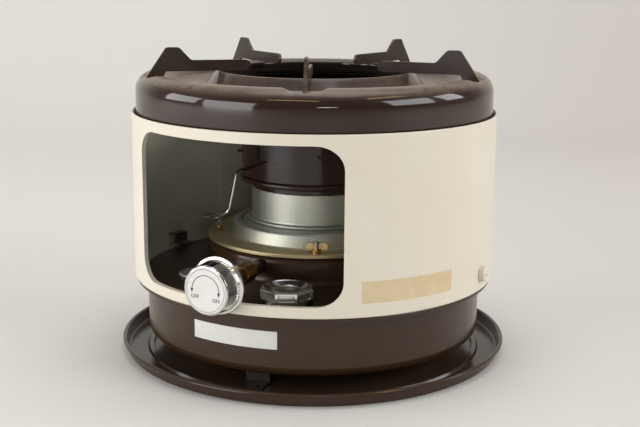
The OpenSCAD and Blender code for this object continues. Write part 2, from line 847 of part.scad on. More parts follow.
// Horizontal run of a slope that starts and ends in a bend
function slope_run(rise, bends, angle) =
  bends * sin(angle) + (rise - bends * (1 - cos(angle))) / tan(angle);

ridge_in_r = skirt_r - shoulder_r - ridge_w;
valley_out_r = ridge_in_r - slope_run(valley_d, ridge_bend_r + valley_bend_r, ridge_slope);
valley_in_r = hole_r + rim_bend_r + slope_run(rim_z - valley_z, rim_bend_r + valley_bend_r, collar_slope);

plate_path = concat(
  [[skirt_r, plate_z]],
  arc([skirt_r - shoulder_r, ridge_z - shoulder_r], shoulder_r, 0, 90, 8),
  arc([ridge_in_r, ridge_z - ridge_bend_r], ridge_bend_r, 90, 90 + ridge_slope, 4),
  arc([valley_out_r, valley_z + valley_bend_r], valley_bend_r, 270 + ridge_slope, 270, 4),
  arc([valley_in_r, valley_z + valley_bend_r], valley_bend_r, 270, 270 - collar_slope, 4),
  arc([hole_r + rim_bend_r, rim_z - rim_bend_r], rim_bend_r, 90 - collar_slope, 180, 6),
  [[hole_r, rim_z - rim_bend_r - 1]]
);

// The filled form under the plate's surface, lowered by one sheet for its inside
module plate_form(drop) {
  bottom = plate_z - (drop > 0 ? lining_gap : 0);
  surface = [for (i = [1 : len(plate_path) - 1]) shifted(plate_path, i, drop)];
  difference() {
    turned(concat([[skirt_r - drop, bottom]], surface, [[hole_r + drop, bottom]]));
    for (k = [0 : support_count - 1]) rotate([0, 0, support_az + k * 360 / support_count]) {
      channel_cut(drop);
    }
  }
}

// The space above one channel across the ridge, with walls at 45 degrees
module channel_cut(drop) {
  half = channel_w / 2 + drop * (sqrt(2) - 1);
  rise = 20;
  translate([0, -valley_out_r, channel_z - drop]) rotate([90, 0, 0]) {
    linear_extrude(skirt_r + 2 - valley_out_r) {
      polygon([[-half, 0], [half, 0], [half + rise, rise], [-half - rise, rise]]);
    }
  }
}

module top_plate() {
  throat_z = rim_z - rim_bend_r - throat_h;
  color(brown) difference() {
    plate_form(0);
    plate_form(plate_t);
    translate([0, 0, plate_z - 5]) cylinder(r = hole_r + plate_t + eps, h = throat_z - plate_z + 5);
  }
}

// ---- Pot supports: upright plates with a horn, a rest and a foot ----
foot_edge_w = 8.7;
foot_w = 14.6;
horn_lean = 16.5;
horn_w = 13.2;
horn_nose_r = 3;
horn_bend_r = 5;
foot_out_r = skirt_r - foot_edge_w;
foot_in_r = foot_out_r - foot_w;
horn_out_r = foot_out_r - horn_lean;
horn_in_r = horn_out_r - horn_w;
rest_out_r = horn_in_r - 12.4;
arm_h = 9.5;
foot_bend_r = 2;

module pot_support(k) {
  rest_z = channel_z + rest_h;
  horn_z = channel_z + horn_h;
  arm_z = rest_z - arm_h;
  outline = concat(
    [[foot_out_r, channel_z]],
    arc([horn_out_r - horn_nose_r, horn_z - horn_nose_r], horn_nose_r, 30, 90, 4),
    arc([horn_in_r + horn_bend_r / 2, horn_z - horn_bend_r], horn_bend_r, 90, 135, 4),
    arc([rest_out_r, rest_z + horn_bend_r], horn_bend_r, 315, 270, 4),
    arc([support_tip_r + arm_h / 2, rest_z - arm_h / 2], arm_h / 2, 90, 270, 8),
    arc([foot_in_r - 2 * foot_bend_r, arm_z - foot_bend_r], foot_bend_r, 90, 0, 3),
    [[foot_in_r, channel_z]]
  );
  color(brown) rotate([0, 0, support_az + (k - 1) * 360 / support_count]) {
    translate([-support_t / 2, 0, 0]) rotate([90, 0, 90]) linear_extrude(support_t) {
      polygon([for (p = outline) [-p[0], p[1]]]);
    }
  }
}

// ---- Burner: enamelled base and shell round two perforated flame tubes ----
base_h = 11.4;
base_r = burner_r + 2.5;
shell_t = 0.8;
shell_z = burner_z + base_h;
shell_top = burner_z + burner_h;
mica_az = -7.5;
mica_z = shell_z + 17;
mica_t = 0.4;
tube_t = 0.8;
pin_az = -58.6;
pin_r = 1.5;
pin_z = shell_z + 20;
flame_z = burner_z + 6;
flame_top = shell_top - 10;

module burner_base() {
  t = 1;
  color(brown) pressed(concat(
    [[wick_tube_r, burner_z], [wick_tube_r, burner_z + 3.6]],
    [[wick_tube_r + 1.6, burner_z + 5.2], [base_r - 2, burner_z + 6.4]],
    arc([base_r - 2, burner_z + 8.4], 2, -75, 90, 8),
    [[burner_r - 1.5, burner_z + 10.4]]
  ), t);
}

module burner_shell() {
  color(brown) difference() {
    pressed(concat(
      [[burner_r, shell_z]],
      arc([burner_r - 3, shell_top - 3], 3, 0, 90),
      [[outer_flame_r + 0.6, shell_top], [outer_flame_r + 0.6, shell_top - 6]]
    ), shell_t);
    at(mica_az, 0, mica_z + mica_h / 2) rotate([90, 0, 0]) linear_extrude(deep) {
      polygon(rounded_rect(mica_w, mica_h, 3));
    }
    pin_cut(0.1);
  }
}

module mica_window() {
  out_r = burner_r - shell_t;
  color([0.75, 0.7, 0.55, 0.5]) intersection() {
    ring(out_r - mica_t, out_r, mica_z - 3, mica_z + mica_h + 3);
    at(mica_az, burner_r, 0) translate([-mica_w / 2 - 3, -10, 0]) cube([mica_w + 6, 30, deep]);
  }
}

// The two cross pins, or with a clearance the holes that they pass through
module pin_cut(gap) {
  for (k = [0, 1]) rotate([0, 0, pin_az + 90 * k]) translate([0, 0, pin_z + k * 2 * (pin_r + 0.3)]) {
    rotate([90, 0, 0]) cylinder(r = pin_r + gap, h = 2 * (burner_r + 4), center = true, $fn = 24);
  }
}

module cross_pins() {
  color(steel) pin_cut(0);
}

// Rows of draught holes, each row half a pitch on from the one below
draught_hole_r = 2;
draught_pitch = 9;

module perforations(r, rows, per_row) {
  for (row = [0 : rows - 1], k = [0 : per_row - 1]) {
    radial((k + (row % 2) / 2) * 360 / per_row, r - 3, flame_z + 10 + row * draught_pitch) {
      cylinder(r = draught_hole_r, h = 6, $fn = 16);
    }
  }
}

module outer_flame_tube() {
  foot_r = wick_tube_r + 0.4;
  color("#4A423C") difference() {
    pressed([
      [foot_r - 0.6, flame_z - 1], [outer_flame_r, flame_z + 3], [outer_flame_r, flame_top + 3.5]
    ], tube_t);
    perforations(outer_flame_r, 7, 20);
    pin_cut(0.1);
  }
}

module inner_flame_tube() {
  foot_r = air_tube_r - 0.2;
  color("#4A423C") difference() {
    pressed([
      [foot_r, wick_tube_z - 0.3], [foot_r, burner_z + 2], [inner_flame_r, burner_z + 7],
      [inner_flame_r, flame_top - 8]
    ], tube_t);
    perforations(inner_flame_r, 6, 16);
    pin_cut(0.1);
  }
}

spreader_h = 11;
spreader_lip = 3;

module flame_spreader() {
  z = flame_top - 8;
  lip_out = inner_flame_r + spreader_lip;
  color("#4A423C") pressed([
    [lip_out, z + spreader_lip], [lip_out, z + 2 * spreader_lip], [inner_flame_r - 4, z + spreader_h - 2],
    [6, z + spreader_h], [0, z + spreader_h]
  ], tube_t);
  color("#4A423C") ring(inner_flame_r - tube_t, lip_out - 0.6, z, z + spreader_lip + 1);
}

// ---- Wire handle, bent round the shell and down to a finger loop ----
wire_r = wire_d / 2;
wire_ring_r = 8;
wire_drop = 22;

// Stations of the wire: azimuth, radius and height
wire_stations = [
  [-13, burner_r + wire_r, shell_z + 17.5], [-20, burner_r + wire_r + 0.3, shell_z + 14.5],
  [-27, burner_r + wire_r + 0.8, shell_z + 11.8], [-34.5, burner_r + wire_r + 1.4, shell_z + 8.5],
  [-44, burner_r + wire_r + 2, shell_z + 5.5], [-54, burner_r + wire_r + 2.6, shell_z + 2.5],
  [-57, burner_r + wire_r + 4.2, shell_z - 1], [-57.6, burner_r + 11.8, flange_z + wire_drop],
  [-57.6, burner_r + 14.5, flange_z + wire_drop - 3.6], [-57.6, burner_r + 20, flange_z + wire_drop - 6.6]
];

function station(s) = [s[1] * sin(s[0]), -s[1] * cos(s[0]), s[2]];

// The finger loop, as stations on a circle that stops just short of its start
loop_sides = 14;

function loop_points(c, r, az) = [
  for (k = [0 : loop_sides])
    let (a = az + 180 - k * 350 / loop_sides)
    [c[0] + r * sin(a), c[1] - r * cos(a), c[2]]
];

function tangent(points, i) = unit(points[min(i + 1, len(points) - 1)] - points[max(i - 1, 0)]);

// A direction across the wire, carried from station to station without twist
function carried(points, n, i = 0) =
  i == len(points) ? [] :
  let (t = tangent(points, i), m = unit(n - (n * t) * t))
  concat([m], carried(points, m, i + 1));

// A round wire swept along a list of points
module wire(points, r, sides = 8) {
  across = carried(points, [0, 0, 1]);
  count = len(points);
  corners = [
    for (i = [0 : count - 1], k = [0 : sides - 1])
      let (t = tangent(points, i), a = k * 360 / sides)
      points[i] + r * (across[i] * cos(a) + cross(t, across[i]) * sin(a))
  ];
  walls = [
    for (i = [0 : count - 2], k = [0 : sides - 1])
      let (a = i * sides + k, b = i * sides + (k + 1) % sides)
      each [[a, b, a + sides], [b, b + sides, a + sides]]
  ];
  start = [for (k = [sides - 1 : -1 : 0]) k];
  end = [for (k = [0 : sides - 1]) (count - 1) * sides + k];
  polyhedron(corners, concat([start], walls, [end]));
}

module wire_handle() {
  s = wire_stations[len(wire_stations) - 1];
  centre = station([s[0], s[1] + wire_ring_r, s[2]]);
  color(steel) wire(concat(
    [for (i = [0 : len(wire_stations) - 2]) station(wire_stations[i])],
    loop_points(centre, wire_ring_r, s[0])
  ), wire_r);
}

drip_tray();
tank_legs();
tank_pan();
tank_top();
air_tube();
flange_gasket();
wick_housing();
housing_studs();
wing_nuts();
shaft_gland();
gland_packing();
packing_nut();
wick();
wick_carrier();
wick_rack();
wick_shaft();
wick_pinion();
wick_knob();
knob_disc();
filler_neck();
filler_strainer();
filler_cap();
cap_seal();
gauge_frame();
gauge_dial();
gauge_bezel();
gauge_lens();
gauge_needle();
gauge_float();
casing();
plate_ledge();
hook_pocket();
hook_tongue();
catch_bracket();
side_catch();
top_plate();
pot_support(1);  // pot_support_1
pot_support(2);  // pot_support_2
pot_support(3);  // pot_support_3
pot_support(4);  // pot_support_4
pot_support(5);  // pot_support_5
burner_base();
burner_shell();
mica_window();
outer_flame_tube();
inner_flame_tube();
flame_spreader();
cross_pins();
wire_handle();
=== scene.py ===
# Looks for a round, wick-fed kerosene cooking stove: enamelled steel round a zinc-plated burner.
# Everything is in metres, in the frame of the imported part, with the stove's front facing -Y.
# Azimuths are in degrees, from the front round to the right.
import math

import bpy
from mathutils import Matrix, Vector, noise


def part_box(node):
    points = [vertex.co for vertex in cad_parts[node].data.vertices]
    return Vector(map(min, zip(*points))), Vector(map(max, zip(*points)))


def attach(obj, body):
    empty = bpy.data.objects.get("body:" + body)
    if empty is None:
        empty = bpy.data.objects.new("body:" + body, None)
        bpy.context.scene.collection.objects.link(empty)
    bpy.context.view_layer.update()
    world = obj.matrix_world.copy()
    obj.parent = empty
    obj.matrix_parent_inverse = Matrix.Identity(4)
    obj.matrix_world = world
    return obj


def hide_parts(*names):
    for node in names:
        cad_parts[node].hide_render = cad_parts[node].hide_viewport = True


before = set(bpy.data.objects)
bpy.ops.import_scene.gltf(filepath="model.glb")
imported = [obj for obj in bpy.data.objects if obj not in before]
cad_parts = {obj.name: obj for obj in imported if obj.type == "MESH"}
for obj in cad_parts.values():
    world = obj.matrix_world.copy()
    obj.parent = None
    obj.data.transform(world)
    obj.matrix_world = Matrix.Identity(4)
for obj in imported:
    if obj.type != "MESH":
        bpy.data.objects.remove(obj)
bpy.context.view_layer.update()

# ---- Room: table, sky, lamps and camera ----
# A pale paper table that runs up into a pale wall, lit by a soft sky and by large soft
# boxes at the front left and the back right, which show in the enamel as pale panes.
mm = 0.001
lens_azimuth = math.radians(27.4)
across = Vector((math.cos(lens_azimuth), math.sin(lens_azimuth), 0))  # to the right in the picture
away = Vector((-across.y, across.x, 0))  # from the camera to the wall


def linear(hex_colour):
    """An sRGB hex colour as linear numbers."""
    parts = [int(hex_colour[i:i + 2], 16) / 255 for i in (1, 3, 5)]
    rgb = [c / 12.92 if c <= 0.04045 else ((c + 0.055) / 1.055) ** 2.4 for c in parts]
    return (*rgb, 1.0)


def add(tree, kind, settings=None, links=None):
    """Adds a node. Settings are properties or unlinked inputs, links are the inputs' sources."""
    node = tree.nodes.new(kind)
    for key, value in (settings or {}).items():
        if isinstance(key, int) or key in node.inputs:
            node.inputs[key].default_value = value
        else:
            setattr(node, key, value)
    for key, source in (links or {}).items():
        tree.links.new(source, node.inputs[key])
    return node


def new_material(name, **settings):
    """A material with a Principled shader, and the plain numbers set on its own sockets."""
    material = bpy.data.materials.new(name)
    material.use_nodes = True
    shader = material.node_tree.nodes["Principled BSDF"]
    for key, value in settings.items():
        shader.inputs[key.replace("_", " ")].default_value = value
    return material, material.node_tree, shader


def mesh_piece(name, vertices, faces, material, body=None, smooth=True):
    """A mesh in the stove's frame, dressed and riding on its body."""
    mesh = bpy.data.meshes.new(name)
    mesh.from_pydata([tuple(v) for v in vertices], [], faces)
    mesh.materials.append(material)
    for polygon in mesh.polygons:
        polygon.use_smooth = smooth
    piece = bpy.data.objects.new(name, mesh)
    bpy.context.scene.collection.objects.link(piece)
    if body:
        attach(piece, body)
    return piece


# painted shade: the paper is painted a little darker towards the right, where less light falls
table_paper, tree, shader = new_material("table_paper", Roughness=0.75)
spot = add(tree, "ShaderNodeTexCoord").outputs["Object"]
sideways = add(tree, "ShaderNodeVectorMath", {"operation": "DOT_PRODUCT", 1: tuple(across)},
               {0: spot})
painted_shade_ramp = add(tree, "ShaderNodeMapRange",
           {"interpolation_type": "SMOOTHSTEP", "From Min": -0.5, "From Max": 0.9},
           {"Value": sideways.outputs["Value"]})
tone = add(tree, "ShaderNodeMix",
           {"data_type": "RGBA", 6: linear("#E9E7E1"), 7: linear("#D8D3CC")}, {0: painted_shade_ramp.outputs[0]})
tree.links.new(tone.outputs[2], shader.inputs["Base Color"])

table_half, cove_start, cove_r, wall_top = 6.0, 1.2, 0.8, 3.5
profile = [(-table_half, 0.0), (cove_start, 0.0)]  # (distance behind the stove, height)
for degrees in range(5, 91, 5):
    a = math.radians(degrees)
    profile.append((cove_start + cove_r * math.sin(a), cove_r - cove_r * math.cos(a)))
profile.append((cove_start + cove_r, wall_top))
corners = [across * side * table_half + away * y + Vector((0, 0, z))
           for y, z in profile for side in (-1, 1)]
strips = [(2 * i, 2 * i + 1, 2 * i + 3, 2 * i + 2) for i in range(len(profile) - 1)]
mesh_piece("table", corners, strips, table_paper)

# the sky is grey low down and paler above, and the side of the room behind the camera is dim
world = bpy.data.worlds.new("sky")
bpy.context.scene.world = world
world.use_nodes = True
sky = world.node_tree
sky.nodes.clear()
facing = add(sky, "ShaderNodeTexCoord")
parts = add(sky, "ShaderNodeSeparateXYZ", links={0: facing.outputs["Generated"]})
height = add(sky, "ShaderNodeMapRange", {"From Min": -0.3, "From Max": 0.8},
             {"Value": parts.outputs["Z"]})
shade = add(sky, "ShaderNodeMix",
            {"data_type": "RGBA", 6: linear("#95928D"), 7: linear("#DDDBD8")},
            {0: height.outputs[0]})
lens_side = add(sky, "ShaderNodeVectorMath", {"operation": "DOT_PRODUCT", 1: tuple(-away)},
                {0: facing.outputs["Generated"]})
level = add(sky, "ShaderNodeMapRange",
            {"interpolation_type": "SMOOTHSTEP", "From Min": 0.1, "From Max": 0.85,
             "To Min": 0.62, "To Max": 0.26}, {"Value": lens_side.outputs["Value"]})
plain = add(sky, "ShaderNodeBackground",
            links={"Color": shade.outputs[2], "Strength": level.outputs[0]})
add(sky, "ShaderNodeOutputWorld", links={"Surface": plain.outputs[0]})


def soft_box(name, azimuth, elevation, distance, width, height, radiance, colour="#FCFCFF"):
    """A lamp panel that faces the stove from a direction, out of the camera's sight."""
    lamp = bpy.data.lights.new(name, "AREA")
    lamp.shape = "RECTANGLE"
    lamp.size, lamp.size_y = width, height
    lamp.energy = radiance * math.pi * width * height
    lamp.color = linear(colour)[:3]
    panel = bpy.data.objects.new(name, lamp)
    turn, lift = math.radians(azimuth), math.radians(elevation)
    direction = Vector((math.sin(turn) * math.cos(lift), -math.cos(turn) * math.cos(lift),
                        math.sin(lift)))
    stove_middle = Vector((0, 0, 150 * mm))
    panel.location = stove_middle + direction * distance
    panel.rotation_mode = "QUATERNION"
    panel.rotation_quaternion = direction.to_track_quat("Z", "Y")
    panel.visible_camera = False
    bpy.context.scene.collection.objects.link(panel)
    return panel


soft_box("pane_front", -26, 10, distance=2.8, width=1.7, height=1.3, radiance=4.6)
soft_box("pane_left", -62, 14, distance=2.8, width=1.35, height=1.15, radiance=4.7)
soft_box("pane_right", 90, 24, distance=2.8, width=1.5, height=1.3, radiance=4.7)
soft_box("pane_back", 124, 24, distance=2.8, width=0.8, height=1.1, radiance=5.0)
soft_box("ceiling_bounce", 180, 82, distance=2.4, width=1.8, height=1.8, radiance=1.6)
soft_box("tube_near_lens", 35, 10, distance=2.4, width=0.45, height=0.05, radiance=30.0)
# warm strip lamps, which only show in what shines
for name, azimuth, elevation, width in (("tube_above_left", 12, 47, 1.1),
                                        ("tube_above_right", 88, 54, 0.9)):
    tube = soft_box(name, azimuth, elevation, distance=2.4, width=width, height=0.05,
                    radiance=24.0, colour="#E8BE7C")
    tube.visible_diffuse = False

# the lens stands where the photograph was taken from: round to the right, a little above
camera_data = bpy.data.cameras.new("camera")
camera_data.sensor_fit = "HORIZONTAL"
camera_data.sensor_width = 36.0
camera_data.lens = 64.54
camera_data.clip_start = 50 * mm
camera = bpy.data.objects.new("camera", camera_data)
bpy.context.scene.collection.objects.link(camera)
lens_distance, lens_height = 1043.9 * mm, 350.2 * mm
pitch, yaw, roll = 0.2151, 0.0055, 0.008  # radians: downwards, rightwards, clockwise
look = Vector((math.sin(yaw) * math.cos(pitch), math.cos(yaw) * math.cos(pitch), -math.sin(pitch)))
level_right = Vector((math.cos(yaw), -math.sin(yaw), 0))
level_up = level_right.cross(look)
right = level_right * math.cos(roll) + level_up * math.sin(roll)
up = level_up * math.cos(roll) - level_right * math.sin(roll)
camera.matrix_world = (Matrix.Rotation(lens_azimuth, 4, "Z")
                       @ Matrix.Translation((0, -lens_distance, lens_height))
                       @ Matrix((right, up, -look)).transposed().to_4x4())
bpy.context.scene.camera = camera
bpy.context.scene.view_settings.view_transform = "Standard"


# ---- Drip tray and tank: brown vitreous enamel on pressed steel ----
# Glass fused on sheet: hard and glossy over slow waves and a fine orange peel, with
# pale specks, and a film of dust on what faces up.
def dress(material, *names):
    """Puts a material on nodes that keep their own shape."""
    for name in names:
        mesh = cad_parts[name].data
        mesh.materials.clear()
        mesh.materials.append(material)


def shaded(colour, factor):
    """A hex colour made darker or lighter by a factor."""
    return tuple(min(1.0, c * factor) for c in linear(colour)[:3]) + (1.0,)


def vitreous_enamel(name, colour, gloss, dust, haze=0.0, specular=0.5):
    """Enamel: gloss is its bare roughness, dust the film on its top, haze the film on its sides."""
    material, tree, shader = new_material(
        name, IOR=1.52, Specular_IOR_Level=specular,
        Sheen_Weight=haze, Sheen_Roughness=0.45, Sheen_Tint=linear("#C9B59E"))
    place = add(tree, "ShaderNodeTexCoord")
    spot = place.outputs["Object"]
    # tone drifts over 60 mm, as a dipped coat does
    drift = add(tree, "ShaderNodeTexNoise", {"Scale": 1 / (60 * mm), "Detail": 3.0},
                {"Vector": spot})
    base = add(tree, "ShaderNodeMix",
               {"data_type": "RGBA", 6: shaded(colour, 0.82), 7: shaded(colour, 1.16)},
               {0: drift.outputs["Fac"]})
    # pale specks about 6 mm apart and half a millimetre wide
    specks = add(tree, "ShaderNodeTexVoronoi", {"Scale": 1 / (6 * mm)}, {"Vector": spot})
    speck = add(tree, "ShaderNodeMapRange",
                {"From Min": 0.02, "From Max": 0.05, "To Min": 0.22, "To Max": 0.0},
                {"Value": specks.outputs["Distance"]})
    # dust settles on what faces up and thins out where hands and cloths pass
    facing = add(tree, "ShaderNodeSeparateXYZ", links={0: place.outputs["Normal"]})
    level = add(tree, "ShaderNodeMapRange",
                {"interpolation_type": "SMOOTHSTEP", "From Min": 0.45, "From Max": 0.99,
                 "To Max": dust},
                {"Value": facing.outputs["Z"]})
    patch = add(tree, "ShaderNodeTexNoise",
                {"Scale": 1 / (10 * mm), "Detail": 6.0, "Roughness": 0.66},
                {"Vector": spot})
    thin = add(tree, "ShaderNodeMapRange", {"From Min": 0.3, "From Max": 0.7, "To Min": 0.45},
               {"Value": patch.outputs["Fac"]})
    film = add(tree, "ShaderNodeMath", {"operation": "MULTIPLY"},
               {0: level.outputs[0], 1: thin.outputs[0]})
    cover = add(tree, "ShaderNodeMath", {"operation": "MAXIMUM"},
                {0: film.outputs[0], 1: speck.outputs[0]})
    tone = add(tree, "ShaderNodeMix", {"data_type": "RGBA", 7: linear("#8F7D6C")},
               {0: cover.outputs[0], 6: base.outputs[2]})
    tree.links.new(tone.outputs[2], shader.inputs["Base Color"])
    # the bare gloss is smeared by wiping, and dust dulls it
    smear = add(tree, "ShaderNodeTexNoise", {"Scale": 1 / (25 * mm), "Detail": 4.0},
                {"Vector": spot})
    bare = add(tree, "ShaderNodeMapRange",
               {"From Min": 0.3, "From Max": 0.7, "To Min": gloss * 0.8, "To Max": gloss * 1.35},
               {"Value": smear.outputs["Fac"]})
    dull = add(tree, "ShaderNodeMix", {"data_type": "FLOAT", 3: 0.62},
               {0: film.outputs[0], 2: bare.outputs[0]})
    tree.links.new(dull.outputs[0], shader.inputs["Roughness"])
    # slow waves of the sheet, 30 mm long, under an orange peel of 2 mm
    wave = add(tree, "ShaderNodeTexNoise", {"Scale": 1 / (30 * mm), "Detail": 1.0},
               {"Vector": spot})
    peel = add(tree, "ShaderNodeTexNoise", {"Scale": 1 / (2.2 * mm), "Detail": 2.0},
               {"Vector": spot})
    slow = add(tree, "ShaderNodeBump", {"Strength": 0.3, "Distance": 0.25 * mm},
               {"Height": wave.outputs["Fac"]})
    fine = add(tree, "ShaderNodeBump", {"Strength": 0.12, "Distance": 0.02 * mm},
               {"Height": peel.outputs["Fac"], "Normal": slow.outputs[0]})
    tree.links.new(fine.outputs[0], shader.inputs["Normal"])
    return material


dress(vitreous_enamel("tray_brown_enamel", "#3B2B1F", 0.16, 0.04, specular=0.34), "drip_tray")
dress(vitreous_enamel("tank_brown_enamel", "#392818", 0.20, 0.05, specular=0.40),
      "tank_pan", "tank_top")


# ---- Legs and seals: black paint with painted shade, graphite packing and rubber ----
# The legs are strip steel under paint that has gone greasy, painted darker than the paint is as
# painted shade from the tank above them; the packing is woven graphite cord and the gaskets are
# oil-proof rubber, with a dull bloom.
def mottled(name, dark, light, patch_mm, detail, shine=None, **settings):
    """A plain finish whose colour drifts between two tones, and so may its roughness."""
    material, tree, shader = new_material(name, **settings)
    spot = add(tree, "ShaderNodeTexCoord").outputs["Object"]
    patch = add(tree, "ShaderNodeTexNoise", {"Scale": 1 / (patch_mm * mm), "Detail": detail},
                {"Vector": spot})
    tone = add(tree, "ShaderNodeMix", {"data_type": "RGBA", 6: linear(dark), 7: linear(light)},
               {0: patch.outputs["Fac"]})
    tree.links.new(tone.outputs[2], shader.inputs["Base Color"])
    if shine:
        polish = add(tree, "ShaderNodeMapRange", {"To Min": shine[0], "To Max": shine[1]},
                     {"Value": patch.outputs["Fac"]})
        tree.links.new(polish.outputs[0], shader.inputs["Roughness"])
    return material


# painted shade: the legs' paint is made darker to stand for the shade under the tank
dress(mottled("black_leg_paint_and_painted_shade", "#1F1814", "#392E27", 5, 5.0, shine=(0.25, 0.55), IOR=1.5),
      "tank_legs")
dress(mottled("oil_proof_rubber", "#1E1C1B", "#34312F", 3, 4.0, shine=(0.5, 0.75), IOR=1.52),
      "flange_gasket", "cap_seal", "gland_packing")

# ---- Wick: woven cotton with glass yarn, charred along its top ----
# A tube woven about 1.5 mm to the thread, soaked and yellowed, with soot on its last 8 mm.
thread = 1.5 * mm
band_scale = math.pi / 10  # a wave texture of this scale has one band to the unit
wick_cotton, tree, shader = new_material("woven_wick_cotton", Roughness=0.9)
spot = add(tree, "ShaderNodeTexCoord").outputs["Object"]
threads = add(tree, "ShaderNodeTexWave",
              {"wave_type": "BANDS", "bands_direction": "Z", "Scale": band_scale / thread},
              {"Vector": spot})
yarn = add(tree, "ShaderNodeMix", {"data_type": "RGBA", 6: linear("#A89C80"), 7: linear("#D2C8AC")},
           {0: threads.outputs["Fac"]})
parts = add(tree, "ShaderNodeSeparateXYZ", links={0: spot})
soot = add(tree, "ShaderNodeMapRange", {"From Min": 138 * mm, "From Max": 145 * mm, "To Max": 0.92},
           {"Value": parts.outputs["Z"]})
tone = add(tree, "ShaderNodeMix", {"data_type": "RGBA", 7: linear("#17130F")},
           {0: soot.outputs[0], 6: yarn.outputs[2]})
tree.links.new(tone.outputs[2], shader.inputs["Base Color"])
weave = add(tree, "ShaderNodeBump", {"Strength": 0.6, "Distance": 0.3 * mm},
            {"Height": threads.outputs["Fac"]})
tree.links.new(weave.outputs[0], shader.inputs["Normal"])
dress(wick_cotton, "wick")

# ---- Wick housing: zinc-plated drawn steel ----
# Drawing and brushing leave fine upright streaks, and the passivated rim has gone gold.
zinc, tree, shader = new_material("brushed_zinc", Metallic=1.0)
spot = add(tree, "ShaderNodeTexCoord").outputs["Object"]
upright = add(tree, "ShaderNodeVectorMath", {"operation": "MULTIPLY", 1: (1, 1, 0.03)}, {0: spot})
streaks = add(tree, "ShaderNodeTexNoise",
              {"Scale": 1 / (1.6 * mm), "Detail": 3.0, "Roughness": 0.6},
              {"Vector": upright.outputs[0]})
bands = add(tree, "ShaderNodeTexNoise", {"Scale": 1 / (9 * mm), "Detail": 2.0},
            {"Vector": upright.outputs[0]})
streak = add(tree, "ShaderNodeMix", {"data_type": "FLOAT", 0: 0.45},
             {2: streaks.outputs["Fac"], 3: bands.outputs["Fac"]})
grey = add(tree, "ShaderNodeMix", {"data_type": "RGBA", 6: linear("#A9ACA3"), 7: linear("#D8DBD2")},
           {0: streak.outputs[0]})
# gilding begins where the flange starts and grows to its rim, over stains of 16 mm
flat_spot = add(tree, "ShaderNodeVectorMath", {"operation": "MULTIPLY", 1: (1, 1, 0)}, {0: spot})
radius = add(tree, "ShaderNodeVectorMath", {"operation": "LENGTH"}, {0: flat_spot.outputs[0]})
gilt = add(tree, "ShaderNodeMapRange", {"From Min": 73 * mm, "From Max": 84 * mm, "To Max": 0.80},
           {"Value": radius.outputs["Value"]})
stain = add(tree, "ShaderNodeTexNoise", {"Scale": 1 / (16 * mm), "Detail": 5.0}, {"Vector": spot})
stained = add(tree, "ShaderNodeMath", {"operation": "MULTIPLY_ADD", 1: 0.35, 2: -0.08},
              {0: stain.outputs["Fac"]})
gold = add(tree, "ShaderNodeMath", {"operation": "ADD", "use_clamp": True},
           {0: gilt.outputs[0], 1: stained.outputs[0]})
tone = add(tree, "ShaderNodeMix", {"data_type": "RGBA", 7: linear("#B9AA80")},
           {0: gold.outputs[0], 6: grey.outputs[2]})
tree.links.new(tone.outputs[2], shader.inputs["Base Color"])
rough = add(tree, "ShaderNodeMapRange", {"To Min": 0.40, "To Max": 0.60},
            {"Value": streaks.outputs["Fac"]})
tree.links.new(rough.outputs[0], shader.inputs["Roughness"])
brush = add(tree, "ShaderNodeBump", {"Strength": 0.35, "Distance": 0.05 * mm},
            {"Height": streak.outputs[0]})
tree.links.new(brush.outputs[0], shader.inputs["Normal"])
dress(zinc, "wick_housing")


# ---- Small metal parts: brass wing nuts and gland nut, drawn steel for the rest ----
# Brass goes brown where fingers don't rub it. The gland is steel under old grease, and the
# tubes, shaft, rack and brackets are plain drawn steel.
def worn_metal(name, light, dark, rough, patch_mm=6, bump=0.1):
    """A bare or plated metal whose tone and polish drift between two colours."""
    material, tree, shader = new_material(name, Metallic=1.0)
    spot = add(tree, "ShaderNodeTexCoord").outputs["Object"]
    patch = add(tree, "ShaderNodeTexNoise",
                {"Scale": 1 / (patch_mm * mm), "Detail": 5.0, "Roughness": 0.6}, {"Vector": spot})
    tone = add(tree, "ShaderNodeMix", {"data_type": "RGBA", 6: linear(dark), 7: linear(light)},
               {0: patch.outputs["Fac"]})
    tree.links.new(tone.outputs[2], shader.inputs["Base Color"])
    polish = add(tree, "ShaderNodeMapRange", {"To Min": rough * 1.3, "To Max": rough * 0.7},
                 {"Value": patch.outputs["Fac"]})
    tree.links.new(polish.outputs[0], shader.inputs["Roughness"])
    marks = add(tree, "ShaderNodeTexNoise", {"Scale": 1 / (0.8 * mm), "Detail": 3.0},
                {"Vector": spot})
    scuff = add(tree, "ShaderNodeBump", {"Strength": bump, "Distance": 0.03 * mm},
                {"Height": marks.outputs["Fac"]})
    tree.links.new(scuff.outputs[0], shader.inputs["Normal"])
    return material


dress(worn_metal("tarnished_brass", "#D8BE86", "#8E7448", 0.22), "wing_nuts", "wick_pinion")
dress(worn_metal("turned_brass", "#9C7B4C", "#5F4731", 0.30), "packing_nut")
dress(worn_metal("greasy_steel", "#857C74", "#453E39", 0.38), "shaft_gland")
dress(worn_metal("drawn_steel", "#B9B9B5", "#8D8C87", 0.33),
      "housing_studs", "air_tube", "wick_carrier", "wick_rack", "wick_shaft", "filler_neck",
      "filler_strainer", "gauge_frame", "hook_tongue", "catch_bracket")

# ---- Burner: enamelled shell, mica window and sooted flame tubes ----
# Split mica, brown from the heat, behind the shell's opening; the two perforated tubes
# and the spreader are bare steel with heat scale.
dress(vitreous_enamel("burner_brown_enamel", "#2B1A15", 0.20, 0.10), "burner_base", "burner_shell")

